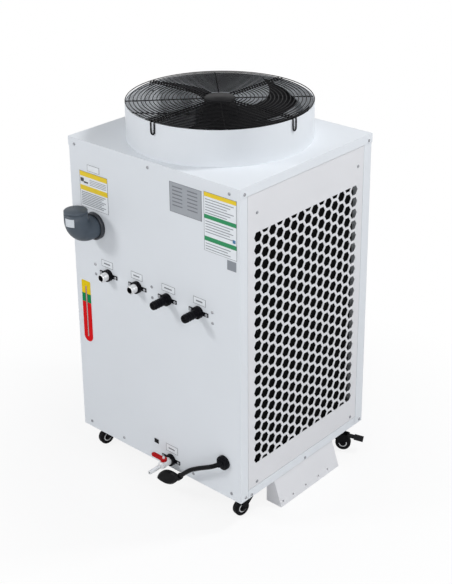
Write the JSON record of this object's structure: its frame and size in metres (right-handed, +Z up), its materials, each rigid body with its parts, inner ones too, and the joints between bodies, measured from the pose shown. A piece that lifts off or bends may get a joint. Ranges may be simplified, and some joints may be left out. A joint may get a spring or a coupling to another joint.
{
  "type": "recirculating chiller",
  "caption": "White sheet-metal water chiller on casters, with a honeycomb air grille, a round guarded roof fan, hose ports, a filler elbow, a level gauge and a drain valve.",
  "frame": {"origin": "centre of the bounding box on the floor", "axes": "+Z up, +X towards the air grille, -Y towards the water ports"},
  "size_m": [0.754, 0.7106, 1.194],
  "materials": {
    "white_paint": "satin powder coat, very light bluish white",
    "galvanised": "plain zinc-plated sheet",
    "black_plastic": "moulded black plastic",
    "grey_plastic": "dark grey moulded pipe fitting",
    "steel": "bright plated steel",
    "red_plastic": "red handle",
    "gauge": "scale plate in bands of colour",
    "clear": "clear window",
    "fins": "fin block",
    "tank": "natural moulded tank",
    "black_paint": "black enamel",
    "wheel": "dark wheel",
    "cord": "black cord jacket",
    "controller": "closed control case"
  },
  "bodies": {
    "chiller": {"base_tray": "white_paint", "caster_rail_front": "black_paint", "caster_rail_back": "black_paint", "corner_post_port_left": "galvanised", "corner_post_port_right": "galvanised", "corner_post_back_left": "galvanised", "corner_post_back_right": "galvanised", "port_panel": "white_paint", "front_panel": "white_paint", "grille_panel": "white_paint", "side_panel": "white_paint", "top_cover": "white_paint", "controller": "controller", "fan_cowl": "white_paint", "fan_guard": "black_paint", "fan_motor": "black_paint", "condenser_coil": "fins", "compressor": "black_paint", "water_tank": "tank", "tank_stand": "galvanised", "circulation_pumps": "black_paint", "heat_exchanger": "galvanised", "electrical_box": "galvanised", "filler_elbow": "grey_plastic", "filler_collar": "black_plastic", "level_gauge": "gauge", "level_window": "clear", "port_collars": "black_plastic", "threaded_nipples": "steel", "hose_barbs": "black_plastic", "drain_valve": "steel", "blank_plug": "black_plastic", "cable_gland": "black_plastic", "power_cord": "cord", "cord_boot": "cord", "foot_bracket_left": "white_paint", "foot_bracket_right": "white_paint", "caster_plates": "steel"},
    "fan": {"fan_rotor": "black_paint"},
    "cap": {"filler_cap": "grey_plastic"},
    "lever": {"drain_lever": "red_plastic"},
    "fork_front_left": {"caster_fork_front_left": "steel"},
    "wheel_front_left": {"caster_wheel_front_left": "wheel"},
    "fork_back_left": {"caster_fork_back_left": "steel"},
    "wheel_back_left": {"caster_wheel_back_left": "wheel"},
    "pedal_left": {"brake_pedal_left": "steel"},
    "fork_front_right": {"caster_fork_front_right": "steel"},
    "wheel_front_right": {"caster_wheel_front_right": "wheel"},
    "fork_back_right": {"caster_fork_back_right": "steel"},
    "wheel_back_right": {"caster_wheel_back_right": "wheel"},
    "pedal_right": {"brake_pedal_right": "steel"}
  },
  "joints": [
    {"name": "fan_spin", "type": "hinge", "parent": "chiller", "child": "fan", "pos_m": [0, 0.05415, 1.137], "axis": [0, 0, 1], "continuous": true},
    {"name": "filler_cap_lift", "type": "slide", "parent": "chiller", "child": "cap", "axis": [0, 0, 1], "range_m": [0, 0.06]},
    {"name": "drain_lever_turn", "type": "hinge", "parent": "chiller", "child": "lever", "pos_m": [0.0545, -0.27835, 0.132], "axis": [0, 0, 1], "range_deg": [0, 90]},
    {"name": "swivel_front_left", "type": "hinge", "parent": "chiller", "child": "fork_front_left", "pos_m": [-0.293, -0.17035, 0.06], "axis": [0, 0, 1], "continuous": true},
    {"name": "roll_front_left", "type": "hinge", "parent": "fork_front_left", "child": "wheel_front_left", "pos_m": [-0.2972, -0.19195, 0.025], "axis": [-0.9816, 0.1908, 0], "continuous": true},
    {"name": "swivel_back_left", "type": "hinge", "parent": "chiller", "child": "fork_back_left", "pos_m": [-0.293, 0.27865, 0.06], "axis": [0, 0, 1], "range_deg": [-230, 78]},
    {"name": "roll_back_left", "type": "hinge", "parent": "fork_back_left", "child": "wheel_back_left", "pos_m": [-0.31232, 0.28918, 0.025], "axis": [0.4787, 0.878, 0], "continuous": true},
    {"name": "brake_left", "type": "hinge", "parent": "fork_back_left", "child": "pedal_left", "pos_m": [-0.32636, 0.29684, 0.051], "axis": [-0.4787, -0.878, 0], "range_deg": [0, 18]},
    {"name": "swivel_front_right", "type": "hinge", "parent": "chiller", "child": "fork_front_right", "pos_m": [0.293, -0.17035, 0.06], "axis": [0, 0, 1], "continuous": true},
    {"name": "roll_front_right", "type": "hinge", "parent": "fork_front_right", "child": "wheel_front_right", "pos_m": [0.2888, -0.19195, 0.025], "axis": [-0.9816, 0.1908, 0], "continuous": true},
    {"name": "swivel_back_right", "type": "hinge", "parent": "chiller", "child": "fork_back_right", "pos_m": [0.293, 0.27865, 0.06], "axis": [0, 0, 1], "range_deg": [-78, 230]},
    {"name": "roll_back_right", "type": "hinge", "parent": "fork_back_right", "child": "wheel_back_right", "pos_m": [0.31232, 0.28918, 0.025], "axis": [0.4787, -0.878, 0], "continuous": true},
    {"name": "brake_right", "type": "hinge", "parent": "fork_back_right", "child": "pedal_right", "pos_m": [0.32636, 0.29684, 0.051], "axis": [-0.4787, 0.878, 0], "range_deg": [0, 18]}
  ]
}
